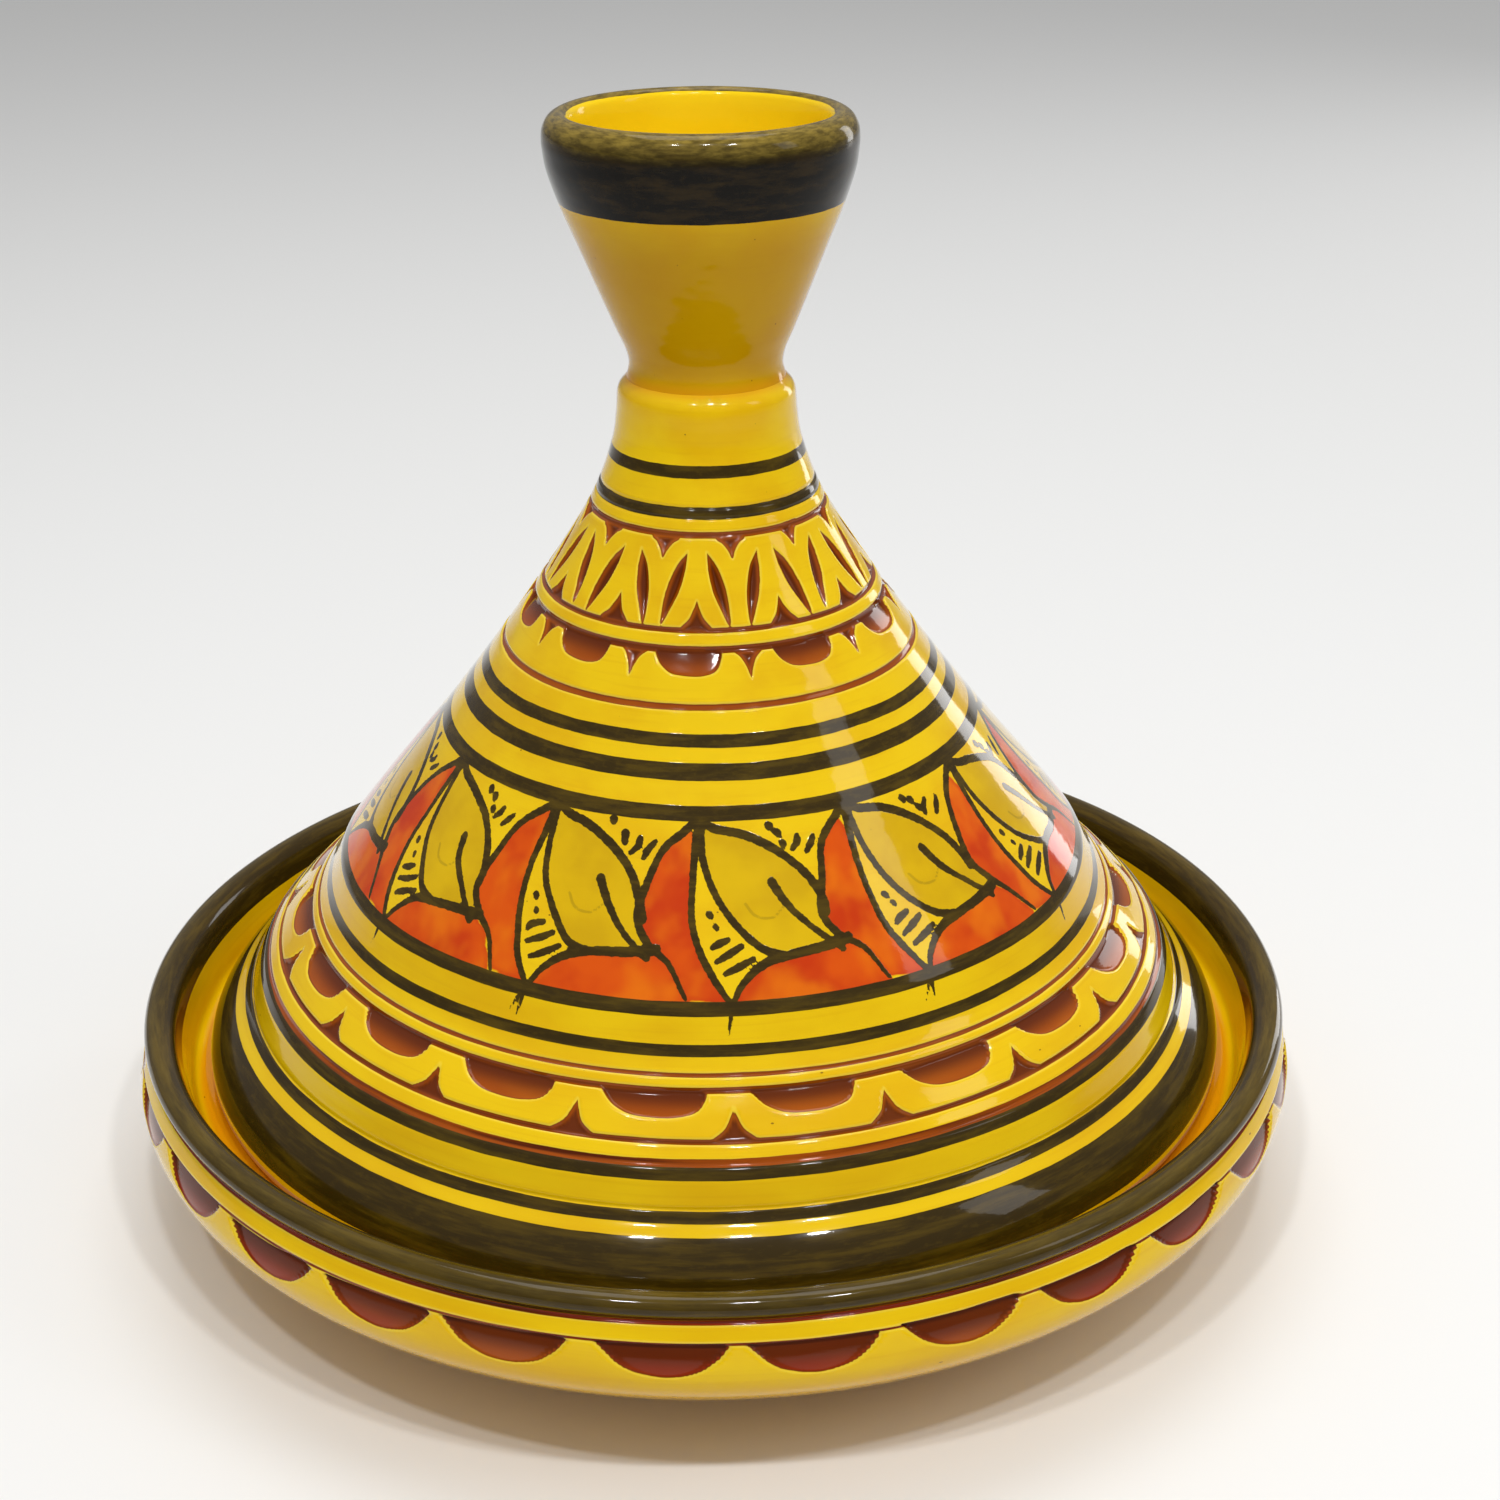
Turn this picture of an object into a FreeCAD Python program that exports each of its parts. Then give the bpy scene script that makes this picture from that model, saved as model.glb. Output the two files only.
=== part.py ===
import FreeCAD, Part
import math
import os

os.makedirs("parts", exist_ok=True)

# Glazed earthenware tagine: a round dish and a conical lid with a goblet knob.
# Millimetres, +Z up. The origin is the middle of the foot ring, on the table.

# Dish
FOOT_RADIUS = 95.0
FOOT_HEIGHT = 4.0
FOOT_RECESS = 3.0
FOOT_WIDTH = 9.0
WALL_RADIUS = 138.2
WALL_HEIGHT = 34.0
RIM_GROOVE_RADIUS = 135.0
RIM_GROOVE_HEIGHT = 44.3
DISH_HEIGHT = 49.5
RIM_INNER_RADIUS = 127.7
LEDGE_HEIGHT = 33.0
LEDGE_OUTER_RADIUS = 123.5
LEDGE_INNER_RADIUS = 113.0
WELL_FLOOR = 10.0

# Lid
SEAT_GAP = 0.3
LID_WALL = 6.5
LID_BOTTOM = LEDGE_HEIGHT + SEAT_GAP
LID_LIP_RADIUS = 121.7
LID_LIP_HEIGHT = 39.6
LID_SEAT_OUTER_RADIUS = 118.5
LID_SEAT_INNER_RADIUS = 114.5
COLLAR_TOP = 195.5
COLLAR_SEAM_RADIUS = 17.6
LID_HOLLOW_TOP = 178.0

# Knob
KNOB_TOP = 252.5
KNOB_WAIST_RADIUS = 16.9
KNOB_WAIST_HEIGHT = 198.2
KNOB_LIP_RADIUS = 34.3
KNOB_LIP_HEIGHT = 246.2
KNOB_MOUTH_RADIUS = 27.0
CUP_FLOOR = 208.0


def place(radius, height):
    """Point of a turned profile, in the XZ plane."""
    return FreeCAD.Vector(radius, 0, height)


def line(start, end):
    return Part.makeLine(place(*start), place(*end))


def curve(*points):
    """Smooth edge through every (radius, height) point."""
    spline = Part.BSplineCurve()
    spline.interpolate([place(*point) for point in points])
    return spline.toShape()


def turned(edges):
    """Solid of revolution of a closed profile about the Z axis."""
    face = Part.Face(Part.Wire(edges))
    solid = face.revolve(FreeCAD.Vector(0, 0, 0), FreeCAD.Vector(0, 0, 1), 360)
    if not solid.isValid() or solid.Volume < 0:
        solid.fix(0.001, 0.001, 0.01)
    return solid


def moved_inwards(points, wall):
    """Same profile, shifted by the wall thickness towards the axis and the inside."""
    shifted = []
    for index, (radius, height) in enumerate(points):
        before = points[max(index - 1, 0)]
        after = points[min(index + 1, len(points) - 1)]
        along_radius = after[0] - before[0]
        along_height = after[1] - before[1]
        length = math.hypot(along_radius, along_height)
        shifted.append((radius + wall * along_height / length, height - wall * along_radius / length))
    return shifted


def dish():
    foot_inner = FOOT_RADIUS - FOOT_WIDTH
    groove = (RIM_GROOVE_RADIUS, RIM_GROOVE_HEIGHT)
    rim_inside = (RIM_INNER_RADIUS, RIM_GROOVE_HEIGHT - 2.0)
    ledge_outer = (LEDGE_OUTER_RADIUS, LEDGE_HEIGHT)
    ledge_inner = (LEDGE_INNER_RADIUS, LEDGE_HEIGHT)
    edges = [
        line((0, FOOT_RECESS), (foot_inner, FOOT_RECESS)),
        line((foot_inner, FOOT_RECESS), (foot_inner + 1.5, 0)),
        line((foot_inner + 1.5, 0), (FOOT_RADIUS - 1.0, 0)),
        line((FOOT_RADIUS - 1.0, 0), (FOOT_RADIUS, FOOT_HEIGHT)),
        curve((FOOT_RADIUS, FOOT_HEIGHT), (116.0, 13.0), (131.4, 22.1), (136.9, 28.7),
              (WALL_RADIUS, WALL_HEIGHT), (137.4, 39.5), groove),
        curve(groove, (136.2, 47.0), (133.2, DISH_HEIGHT), (129.5, 47.5), rim_inside),
        curve(rim_inside, (126.7, 37.4), ledge_outer),
        line(ledge_outer, ledge_inner),
        curve(ledge_inner, (108.4, 26.5), (100.0, 18.0), (84.0, 12.6), (48.0, 10.3), (0, WELL_FLOOR)),
        line((0, WELL_FLOOR), (0, FOOT_RECESS)),
    ]
    return turned(edges)


# Outside of the lid, from the shoulder of the collar down to the lip.
COLLAR_AND_FLANK = [(COLLAR_SEAM_RADIUS, COLLAR_TOP), (19.5, 193.2), (20.2, 187.7), (21.0, 182.3),
                    (25.3, 170.1), (34.0, 155.3), (45.1, 139.1), (61.2, 117.5), (78.7, 95.9), (87.1, 85.1)]
BELT = [(87.1, 85.1), (91.2, 77.2), (95.0, 72.6), (99.6, 68.2), (105.0, 62.6), (106.8, 60.7), (108.3, 58.4)]
BRIM = [(108.3, 58.4), (110.6, 53.4), (112.4, 51.1), (114.8, 49.2), (118.3, 45.8), (120.7, 42.4),
        (LID_LIP_RADIUS, LID_LIP_HEIGHT)]


def lid_cone():
    lip = (LID_LIP_RADIUS, LID_LIP_HEIGHT)
    seat_outer = (LID_SEAT_OUTER_RADIUS, LID_BOTTOM)
    seat_inner = (LID_SEAT_INNER_RADIUS, LID_BOTTOM)
    hollow_top = (0, LID_HOLLOW_TOP)
    outside = COLLAR_AND_FLANK[4:] + BELT[1:-2] + BRIM[:-1:2]
    inside = moved_inwards(outside, LID_WALL)
    edges = [
        line((0, COLLAR_TOP), COLLAR_AND_FLANK[0]),
        curve(*COLLAR_AND_FLANK),
        curve(*BELT),
        curve(*BRIM),
        curve(lip, (121.6, 36.4), seat_outer),
        line(seat_outer, seat_inner),
        curve(seat_inner, *reversed(inside), (10.0, 175.5), hollow_top),
        line(hollow_top, (0, COLLAR_TOP)),
    ]
    return turned(edges)


def lid_knob():
    seam = (COLLAR_SEAM_RADIUS, COLLAR_TOP)
    lip = (KNOB_LIP_RADIUS, KNOB_LIP_HEIGHT)
    mouth = (KNOB_MOUTH_RADIUS, KNOB_TOP - 2.4)
    edges = [
        line((0, COLLAR_TOP), seam),
        curve(seam, (KNOB_WAIST_RADIUS, KNOB_WAIST_HEIGHT), (17.6, 201.4), (19.8, 206.6), (23.2, 214.9),
              (26.9, 224.1), (30.9, 233.8), (33.4, 241.2), lip),
        curve(lip, (33.9, 249.2), (32.3, 251.6), (29.6, KNOB_TOP), (27.7, 251.5), mouth),
        curve(mouth, (26.2, 245.0), (24.6, 233.0), (20.8, 223.0), (17.0, 214.5), (10.0, 209.0), (0, CUP_FLOOR)),
        line((0, CUP_FLOOR), (0, COLLAR_TOP)),
    ]
    return turned(edges)


for node, make in (("dish", dish), ("lid_cone", lid_cone), ("lid_knob", lid_knob)):
    shape = make()
    box = shape.BoundBox
    print(node, shape.ShapeType, "valid", shape.isValid(), "volume", round(shape.Volume),
          "height", round(box.ZMin, 2), "to", round(box.ZMax, 2), "radius", round(box.XMax, 2))
    shape.exportStep("parts/" + node + ".step")
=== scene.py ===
"""Glazed, carved and painted tagine pot. Metres, +Z up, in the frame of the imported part.

Profiles are given in millimetres as (radius, height) and scaled once, when a mesh is built.
A place on a turned surface is (turn, run): turn is the angle in degrees from the front, positive to
the right, and run is the distance in millimetres along the profile from its origin.
"""

import math

import bpy
import numpy as np
from mathutils import Matrix, Vector


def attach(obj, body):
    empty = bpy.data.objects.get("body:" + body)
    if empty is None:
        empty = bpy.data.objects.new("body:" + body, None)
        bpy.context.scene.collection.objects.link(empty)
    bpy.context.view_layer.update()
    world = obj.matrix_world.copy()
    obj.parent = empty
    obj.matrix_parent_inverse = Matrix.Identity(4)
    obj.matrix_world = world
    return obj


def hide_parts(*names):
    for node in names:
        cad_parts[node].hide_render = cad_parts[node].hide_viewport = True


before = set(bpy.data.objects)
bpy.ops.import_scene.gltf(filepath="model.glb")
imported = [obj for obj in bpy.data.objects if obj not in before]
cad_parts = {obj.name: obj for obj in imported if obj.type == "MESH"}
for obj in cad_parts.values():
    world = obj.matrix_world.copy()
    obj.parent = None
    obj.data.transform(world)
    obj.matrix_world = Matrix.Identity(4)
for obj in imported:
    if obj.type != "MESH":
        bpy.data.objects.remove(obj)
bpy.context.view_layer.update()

MM = 0.001
COLLAR_TOP = 195.5
KNOB_TOP = 252.4
LEAN = 0.5            # how far the knob's top leans to the left
WRAP_RADIUS = 50.0    # beyond this radius brush marks are stretched round the axis
FAR = -9.0            # distance given to a vertex that no motif has reached
random = np.random.default_rng(11)


# ---------------------------------------------------------------- turned profiles

def smooth_path(points, steps=40):
    """Catmull-Rom curve through every point, as a dense polyline."""
    points = np.array(points, float)
    padded = np.vstack([2 * points[0] - points[1], points, 2 * points[-1] - points[-2]])
    out = []
    for start in range(len(points) - 1):
        p0, p1, p2, p3 = padded[start:start + 4]
        k0 = 0.0
        k1 = k0 + max(np.linalg.norm(p1 - p0), 1e-6) ** 0.5
        k2 = k1 + max(np.linalg.norm(p2 - p1), 1e-6) ** 0.5
        k3 = k2 + max(np.linalg.norm(p3 - p2), 1e-6) ** 0.5
        t = np.linspace(k1, k2, steps, endpoint=False)[:, None]
        a1 = (k1 - t) / (k1 - k0) * p0 + (t - k0) / (k1 - k0) * p1
        a2 = (k2 - t) / (k2 - k1) * p1 + (t - k1) / (k2 - k1) * p2
        a3 = (k3 - t) / (k3 - k2) * p2 + (t - k2) / (k3 - k2) * p3
        b1 = (k2 - t) / (k2 - k0) * a1 + (t - k0) / (k2 - k0) * a2
        b2 = (k3 - t) / (k3 - k1) * a2 + (t - k1) / (k3 - k1) * a3
        out.append((k2 - t) / (k2 - k1) * b1 + (t - k1) / (k2 - k1) * b2)
    out.append(points[-1:])
    return np.vstack(out)


def moved_inwards(points, wall):
    """Same points in reverse, moved by the wall thickness towards the inside of the lid."""
    points = np.array(points)
    before, after = points[[0, *range(len(points) - 1)]], points[[*range(1, len(points)), -1]]
    along = (after - before) / np.hypot(*(after - before).T)[:, None]
    return [tuple(place) for place in (points + wall * np.column_stack([along[:, 1], -along[:, 0]]))[::-1]]


class Profile:
    """Outline of a turned solid, followed so that its outward normal is on the left of the path."""

    def __init__(self, stretches, origin):
        parts = [smooth_path(line) if len(line) > 2 else np.array(line, float) for line in stretches]
        path = np.vstack([parts[0]] + [part[1:] for part in parts[1:]])
        length = np.concatenate([[0], np.cumsum(np.hypot(*np.diff(path, axis=0).T))])
        self.path = path
        self.run = length - length[np.argmin(np.hypot(*(path - np.array(origin)).T))]

    def where(self, radius, height):
        """Run of the path's nearest point."""
        return float(self.run[np.argmin(np.hypot(self.path[:, 0] - radius, self.path[:, 1] - height))])

    def radius(self, run):
        return np.interp(run, self.run, self.path[:, 0])

    def height(self, run):
        return np.interp(run, self.run, self.path[:, 1])

    def normal(self, run):
        step = 0.25
        along_r = self.radius(run + step) - self.radius(run - step)
        along_z = self.height(run + step) - self.height(run - step)
        length = np.maximum(np.hypot(along_r, along_z), 1e-9)
        return -along_z / length, along_r / length


def row_runs(zones):
    """[(run, columns)] for zones of (first run, last run, row spacing, columns)."""
    rows = []
    for first, last, spacing, columns in zones:
        count = max(int(round((last - first) / spacing)), 1)
        rows += [(first + (last - first) * step / count, columns) for step in range(count)]
    rows.append((zones[-1][1], zones[-1][3]))
    return rows


def strip_faces(top, upper, low, lower):
    """Faces between a ring of upper vertices from index top and a ring of lower ones from index low."""
    if upper == 1:
        return [(top, low + j, low + (j + 1) % lower) for j in range(lower)]
    if lower == 1:
        return [(top + j, low, top + (j + 1) % upper) for j in range(upper)]
    if upper == lower:
        return [(top + j, low + j, low + (j + 1) % lower, top + (j + 1) % upper) for j in range(upper)]
    faces = []
    if upper > lower:
        step = upper // lower
        for j in range(lower):
            back = [top + (j * step + k) % upper for k in range(step, 0, -1)]
            faces.append((top + j * step, low + j, low + (j + 1) % lower, *back))
    else:
        step = lower // upper
        for j in range(upper):
            along = [low + (j * step + k) % lower for k in range(step + 1)]
            faces.append((top + j, *along, top + (j + 1) % upper))
    return faces


def add_sharp_edges(mesh, run, corners):
    """Marks the ring of edges at each run in corners."""
    ends = np.empty(len(mesh.edges) * 2, np.int32)
    mesh.edges.foreach_get("vertices", ends)
    sharp = np.zeros(len(mesh.edges), bool)
    for corner in corners:
        sharp |= (np.abs(run[ends].reshape(-1, 2) - corner) < 0.01).all(axis=1)
    mesh.attributes.new("sharp_edge", "BOOLEAN", "EDGE").data.foreach_set("value", sharp)


def add_attributes(mesh, attributes, around):
    """Stores the values that the materials read at each vertex."""
    for key, values in attributes.items():
        layer = mesh.attributes.new(key, "FLOAT", "POINT")
        layer.data.foreach_set("value", np.ascontiguousarray(values, dtype=np.float32))
    wrap = mesh.attributes.new("wrap", "FLOAT_VECTOR", "POINT")
    wrap.data.foreach_set("vector", around.astype(np.float32).ravel())


def turned_mesh(name, profile, zones, surface, material, corners=()):
    """Closed solid of revolution, with a sharp edge at each run in corners.

    surface(turn, run) gives the relief depth and named attributes.
    """
    rings = []
    for run, columns in row_runs(zones):
        rings.append((run, 1 if profile.radius(run) < 1e-6 else columns))
    first = np.cumsum([0] + [columns for run, columns in rings])
    turn = np.concatenate([np.arange(columns) * 360.0 / columns - 180.0 for run, columns in rings])
    run = np.concatenate([np.full(columns, run) for run, columns in rings])
    radius, height = profile.radius(run), profile.height(run)
    normal_r, normal_z = profile.normal(run)
    relief, attributes = surface(turn, run)
    relief = np.where(radius < 1e-6, 0.0, relief)
    radius = radius - relief * normal_r
    height = height - relief * normal_z
    angle = np.radians(turn)
    lean = -LEAN * ease((height - COLLAR_TOP) / (KNOB_TOP - COLLAR_TOP))
    places = np.column_stack([radius * np.sin(angle) + lean, -radius * np.cos(angle), height]) * MM

    faces = []
    for row in range(len(rings) - 1):
        faces += strip_faces(int(first[row]), rings[row][1], int(first[row + 1]), rings[row + 1][1])
    mesh = bpy.data.meshes.new(name)
    mesh.from_pydata(places.tolist(), [], faces)
    mesh.shade_smooth()
    add_sharp_edges(mesh, run, corners)
    reach = np.minimum(radius, WRAP_RADIUS)
    around = np.column_stack([reach * np.sin(angle), reach * np.cos(angle), run])
    add_attributes(mesh, {**attributes, "run": run}, around)
    mesh.materials.append(material)
    piece = bpy.data.objects.new(name, mesh)
    bpy.context.scene.collection.objects.link(piece)
    return piece


# ---------------------------------------------------------------- drawing on a turned surface

def ease(value):
    """Smooth step from 0 to 1."""
    value = np.clip(value, 0, 1)
    return value * value * (3 - 2 * value)


def wave(turn, seed, strongest=6):
    """Slow closed waviness round the axis, between about -1 and 1."""
    local = np.random.default_rng(seed)
    total = np.zeros_like(turn)
    for cycles in range(1, strongest + 1):
        total += local.normal() / cycles * np.sin(np.radians(turn * cycles) + local.uniform(0, 6.3))
    return total / 1.6


def flat(profile, points):
    """(degrees, run) points laid out flat, in millimetres across and along."""
    points = np.array(points, float)
    return np.column_stack([np.radians(points[:, 0]) * profile.radius(points[:, 1]), points[:, 1]])


def inside_distance(x, y, outline):
    """Distance to a closed outline, positive inside."""
    ax, ay = outline.T
    bx, by = np.roll(outline, -1, axis=0).T
    dx, dy = bx - ax, by - ay
    rise = np.where(np.abs(dy) < 1e-9, 1e-9, dy)
    px, py = x[:, None], y[:, None]
    t = np.clip(((px - ax) * dx + (py - ay) * dy) / np.maximum(dx * dx + dy * dy, 1e-12), 0, 1)
    distance = np.sqrt(((px - ax - t * dx) ** 2 + (py - ay - t * dy) ** 2).min(axis=1))
    crossings = ((ay > py) != (by > py)) & (px < dx * (py - ay) / rise + ax)
    return np.where(crossings.sum(axis=1) % 2 == 1, distance, -distance)


def stroke_distance(x, y, path, widths):
    """Distance inside a brush stroke whose half width varies along its path."""
    ax, ay = path[:-1].T
    dx, dy = np.diff(path, axis=0).T
    px, py = x[:, None], y[:, None]
    t = np.clip(((px - ax) * dx + (py - ay) * dy) / np.maximum(dx * dx + dy * dy, 1e-12), 0, 1)
    distance = np.sqrt((px - ax - t * dx) ** 2 + (py - ay - t * dy) ** 2)
    half = widths[:-1] + t * np.diff(widths)
    return (half - distance).max(axis=1)


class Canvas:
    """Vertices of one band of a turned surface, on which motifs are drawn one at a time."""

    def __init__(self, profile, turn, run, first, last, names):
        self.profile = profile
        self.chosen = np.nonzero((run > first) & (run < last))[0]
        self.turn, self.run = turn[self.chosen], run[self.chosen]
        self.radius = profile.radius(self.run)
        self.layers = {name: np.full(len(self.chosen), FAR) for name in names}
        self.depth = np.zeros(len(self.chosen))

    def near(self, centre, left, right):
        """Indices and flat places of the vertices around one motif."""
        offset = (self.turn - centre + 180.0) % 360.0 - 180.0
        index = np.nonzero((offset > left) & (offset < right))[0]
        return index, np.radians(offset[index]) * self.radius[index], self.run[index]

    def add(self, name, index, values):
        self.layers[name][index] = np.maximum(self.layers[name][index], values)

    def sink(self, index, values):
        self.depth[index] = np.maximum(self.depth[index], values)


def mirrored(half):
    """Closed outline from its right half, listed from one end of the axis to the other."""
    return half + [(-degrees, run) for degrees, run in reversed(half) if abs(degrees) > 1e-6]


def shifted(points, degrees, run):
    return [(a + degrees, b + run) for a, b in points]


def channel(canvas, centre_run, half_width, depth, seed, waviness=0.15):
    """Groove cut all the way round."""
    line = centre_run + waviness * wave(canvas.turn, seed)
    inside = half_width - np.abs(canvas.run - line)
    canvas.layers["carve"] = np.maximum(canvas.layers["carve"], inside)
    canvas.depth = np.maximum(canvas.depth, depth * ease((inside + 0.15) / 0.6))


def gouge(canvas, centre, outline, depth, steepness, reach=22.0):
    """V-shaped cut with sharp edges. reach is how many degrees to each side are looked at."""
    index, x, y = canvas.near(centre, -reach, reach)
    inside = inside_distance(x, y, flat(canvas.profile, smooth_path(outline, 6)))
    canvas.add("carve", index, inside)
    step_down = 0.25 * ease((inside + 0.12) / 0.3)
    canvas.sink(index, np.minimum(depth, step_down + steepness * np.maximum(inside, 0)))


def chip(canvas, centre, outline, top_run, bottom_run, depth, reach=22.0):
    """Half-round chip, deepest along its straight upper edge and shallow at its round lower one."""
    index, x, y = canvas.near(centre, -reach, reach)
    inside = inside_distance(x, y, flat(canvas.profile, smooth_path(outline, 6)))
    canvas.add("carve", index, inside)
    fall = 1 - 0.75 * np.clip((y - top_run) / (bottom_run - top_run), 0, 1)
    canvas.sink(index, depth * fall * ease((inside + 0.12) / 0.45))


# ---------------------------------------------------------------- lid cone

COLLAR_RADIUS = 17.6
COLLAR_EDGE = (COLLAR_RADIUS, COLLAR_TOP)
FLANK_END, BELT_END, LIP_START = (87.1, 85.1), (108.3, 58.4), (121.5, 39.6)
SEAT_OUTER, SEAT_INNER = (118.5, 33.35), (114.5, 33.35)
FLANK = [COLLAR_EDGE, (19.5, 193.2), (20.2, 187.7), (21.0, 182.3), (25.3, 170.1), (34.0, 155.3),
         (45.1, 139.1), (61.2, 117.5), (78.7, 95.9), FLANK_END]
BELT = [FLANK_END, (91.2, 77.2), (95.0, 72.6), (99.6, 68.2), (105.0, 62.6), (106.8, 60.7), BELT_END]
BRIM = [BELT_END, (110.6, 53.4), (112.4, 51.1), (114.8, 49.2), (118.2, 45.8), (120.5, 42.4), LIP_START]
LIP = [LIP_START, (121.4, 36.4), SEAT_OUTER]
LID_WALL = 6.5
LID_INSIDE = [SEAT_INNER, (114.2, 37.0), *moved_inwards(FLANK[4:] + BELT[1:-2] + BRIM[:-1:2], LID_WALL),
              (10.0, 175.5), (0, 178.0)]

lid_profile = Profile([[(0, COLLAR_TOP), COLLAR_EDGE], FLANK, BELT, BRIM, LIP, [SEAT_OUTER, SEAT_INNER],
                       LID_INSIDE], COLLAR_EDGE)

FRIEZE_TOP, FRIEZE_END = 28.6, 62.5
PETAL_TOP, PETAL_END = 90.5, 133.5
LOWER_TOP, LOWER_END = 143.4, 168.0
LIP_RUN = lid_profile.where(*LIP_START)
LID_END = float(lid_profile.run[-1])
LID_START = float(lid_profile.run[0])

FRIEZE_COUNT, FRIEZE_CENTRE = 12, -5.0
SCALLOP_COUNT, SCALLOP_CENTRE = 10, -6.0
PETAL_COUNT, PETAL_CENTRE = 12, -2.5
LOWER_COUNT, LOWER_CENTRE = 19, -8.0

# Grooves all the way round: run, half width, depth, seed of the waviness.
FRIEZE_CHANNELS = [(30.0, 0.75, 0.8, 1), (50.7, 0.65, 0.8, 2), (54.7, 0.85, 0.9, 3)]
LOWER_CHANNELS = [(144.85, 0.5, 0.55, 4), (147.9, 0.7, 0.85, 5), (158.55, 0.6, 0.85, 6),
                  (163.1, 0.8, 0.45, 7)]
STAINED_GROOVE = (67.3, 0.75, 0.55, 8)
PLAIN_GROOVES = [(24.2, 0.3, 0.3, 9), (26.6, 0.3, 0.3, 10), (172.3, 0.25, 0.35, 11)]


def carve_frieze(canvas):
    """Row of arches, each with two leaf cuts, between two channels, and the scallops below."""
    for run, half_width, depth, seed in FRIEZE_CHANNELS:
        channel(canvas, run, half_width, depth, seed)
    notch = mirrored([(0, 29.6), (7.0, 29.8), (6.6, 30.6), (3.9, 31.6), (1.5, 33.3), (0, 34.9)])
    tent = mirrored([(0, 44.3), (1.0, 46.0), (2.6, 48.2), (5.4, 50.4), (5.2, 51.0), (0, 51.2)])
    leaf = [(4.0, 33.7), (8.4, 37.0), (10.9, 41.2), (11.9, 45.6), (11.6, 50.0), (8.7, 46.2), (6.0, 42.0),
            (4.4, 37.6)]
    pitch = 360.0 / FRIEZE_COUNT
    for number in range(FRIEZE_COUNT):
        centre = FRIEZE_CENTRE + number * pitch + random.normal(0, 0.35)
        gouge(canvas, centre + pitch / 2, shifted(notch, 0, random.normal(0, 0.25)), 1.0, 0.55)
        gouge(canvas, centre, shifted(tent, random.normal(0, 0.4), random.normal(0, 0.2)), 1.1, 0.7)
        for side in (-1, 1):
            swing, drop = random.normal(0, 0.3), random.normal(0, 0.25)
            cut = [(side * degrees + swing, run + drop) for degrees, run in leaf]
            gouge(canvas, centre, cut, 1.25, 0.85)

    scallop = [(-10.8, 55.0), (0, 54.9), (9.8, 55.1), (9.5, 57.4), (8.0, 59.5), (4.6, 60.5), (-1.0, 60.6),
               (-5.6, 59.9), (-8.7, 58.0), (-10.4, 55.8)]
    spike = mirrored([(0, 55.0), (4.9, 55.2), (2.3, 57.0), (0.9, 59.2), (0, 61.4)])
    pitch = 360.0 / SCALLOP_COUNT
    for number in range(SCALLOP_COUNT):
        centre = SCALLOP_CENTRE + number * pitch + random.normal(0, 0.5)
        chip(canvas, centre, shifted(scallop, 0, random.normal(0, 0.2)), 54.6, 61.0, 1.25, 30)
        gouge(canvas, centre + pitch / 2 + random.normal(0, 0.5), spike, 1.0, 0.6)


def carve_lower_band(canvas):
    """Thin line, then hanging scallops over a channel with small tents, then the grooved ring."""
    for run, half_width, depth, seed in LOWER_CHANNELS:
        channel(canvas, run, half_width, depth, seed)
    scallop = [(-6.9, 148.1), (0, 148.0), (6.3, 148.2), (6.2, 150.4), (5.2, 152.6), (3.0, 153.7),
               (0, 153.9), (-2.8, 153.4), (-4.9, 151.7), (-6.3, 149.3)]
    tent = mirrored([(0, 151.4), (0.45, 153.6), (1.15, 156.0), (2.7, 158.3), (2.6, 158.8), (0, 159.0)])
    pitch = 360.0 / LOWER_COUNT
    for number in range(LOWER_COUNT):
        centre = LOWER_CENTRE + number * pitch + random.normal(0, 0.25)
        drop = random.normal(0, 0.2)
        chip(canvas, centre, shifted(scallop, 0, drop), 147.8, 154.0, 1.3, 12)
        gouge(canvas, centre + pitch / 2, shifted(tent, random.normal(0, 0.2), 0), 1.0, 0.8, 12)


# Petal frieze: brush strokes as (degrees from the motif's upper node, run).
# A dot also has its half width in millimetres.
STEM = [(0.0, 91.0), (-0.9, 98.0), (-1.1, 105.0), (-0.7, 113.0), (0.3, 119.0), (2.3, 125.0), (4.75, 130.6)]
CRESCENT = [(-0.4, 91.4), (-2.6, 93.4), (-6.3, 98.0), (-8.6, 105.5), (-9.4, 113.4), (-7.2, 118.8),
            (-4.4, 122.4), (-1.6, 129.4)]
LEAF_OVER = [(0.0, 91.2), (2.4, 93.2), (8.2, 94.9), (14.3, 99.2), (18.2, 104.5), (20.2, 110.0),
             (20.6, 113.4)]
LEAF_UNDER = [(0.3, 92.0), (0.9, 100.0), (2.9, 108.0), (6.4, 115.0), (9.8, 119.8), (12.8, 121.2)]
DOME = [(4.9, 130.6), (6.4, 126.8), (9.4, 122.9), (13.0, 121.1), (18.4, 120.3), (23.0, 119.4)]
VEIN = [(12.4, 105.4), (14.4, 110.5), (18.0, 116.2), (22.0, 121.4)]
CURL = [(7.6, 109.6), (9.2, 112.4), (11.8, 113.0), (13.9, 110.8)]
DOTS = [(1.6, 111.6, 0.75), (2.5, 114.6, 0.6), (12.9, 93.5, 0.85), (14.7, 95.0, 0.85), (15.4, 97.2, 0.75)]
DASHES = [((2.2, 118.8), (4.6, 116.6)), ((2.8, 121.6), (6.6, 118.2)), ((4.0, 124.6), (8.2, 120.6)),
          ((17.0, 99.4), (18.3, 95.4)), ((19.6, 100.4), (21.3, 96.0))]
TAILS = [[(4.75, 130.0), (4.5, 134.5), (4.2, 137.0)], [(4.5, 131.5), (3.0, 136.2)]]
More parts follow.
